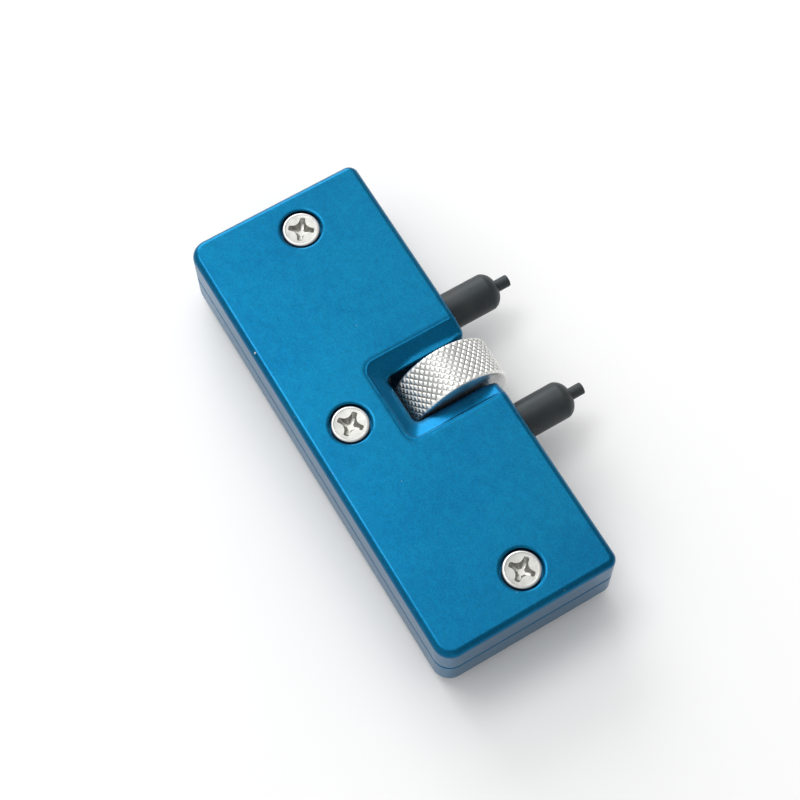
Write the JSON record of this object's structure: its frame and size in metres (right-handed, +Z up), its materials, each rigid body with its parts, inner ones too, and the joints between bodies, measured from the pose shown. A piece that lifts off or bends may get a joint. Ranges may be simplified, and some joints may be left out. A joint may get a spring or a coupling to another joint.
{
  "type": "watch case back opener",
  "caption": "Flat pocket opener: a knurled thumbwheel in a window turns a lead screw that moves stepped steel pins apart along the jaw edge, to grip the notches of a watch case back.",
  "frame": {"origin": "below the middle of the whole tool's box, on the plane that the bottom of the thumbwheel touches", "axes": "+X along the case and its lead screw, +Y out past the jaw edge along the pins, +Z up through the screw heads"},
  "size_m": [0.07, 0.0378, 0.0148],
  "materials": {
    "blue_paint": "glossy metallic blue paint over cast metal",
    "nickel": "satin nickel plate",
    "knurled_steel": "bright nickel-plated diamond knurl",
    "black_steel": "black oxide on hardened steel",
    "turned_steel": "turned bright steel",
    "brass": "machined brass"
  },
  "bodies": {
    "case": {"upper_shell": "blue_paint", "lower_shell": "blue_paint", "case_screw_left": "nickel", "case_screw_middle": "nickel", "case_screw_right": "nickel", "screw_insert_left": "brass", "screw_insert_middle": "brass", "screw_insert_right": "brass", "dowel_left": "turned_steel", "dowel_right": "turned_steel", "end_bearing_left": "brass", "end_bearing_right": "brass", "thrust_washer_left": "turned_steel", "thrust_washer_right": "turned_steel"},
    "drive": {"lead_screw": "turned_steel", "thumbwheel": "knurled_steel", "wheel_set_screw": "black_steel"},
    "left_jaw": {"jaw_carrier_left": "brass", "jaw_pin_left": "black_steel"},
    "right_jaw": {"jaw_carrier_right": "brass", "jaw_pin_right": "black_steel"}
  },
  "joints": [
    {"name": "wheel_turn", "type": "hinge", "parent": "case", "child": "drive", "pos_m": [0, 0.00323, 0.0074], "axis": [1, 0, 0], "range_deg": [-240, 8430]},
    {"name": "left_jaw_slide", "type": "slide", "parent": "case", "child": "left_jaw", "axis": [-1, 0, 0], "range_m": [-0.00041, 0.01406]},
    {"name": "right_jaw_slide", "type": "slide", "parent": "case", "child": "right_jaw", "axis": [1, 0, 0], "range_m": [-0.00041, 0.01406]}
  ],
  "couplings": [
    {"joint": "left_jaw_slide", "follows": "wheel_turn", "m_per_rad": 0.000095493},
    {"joint": "right_jaw_slide", "follows": "wheel_turn", "m_per_rad": 0.000095493}
  ]
}
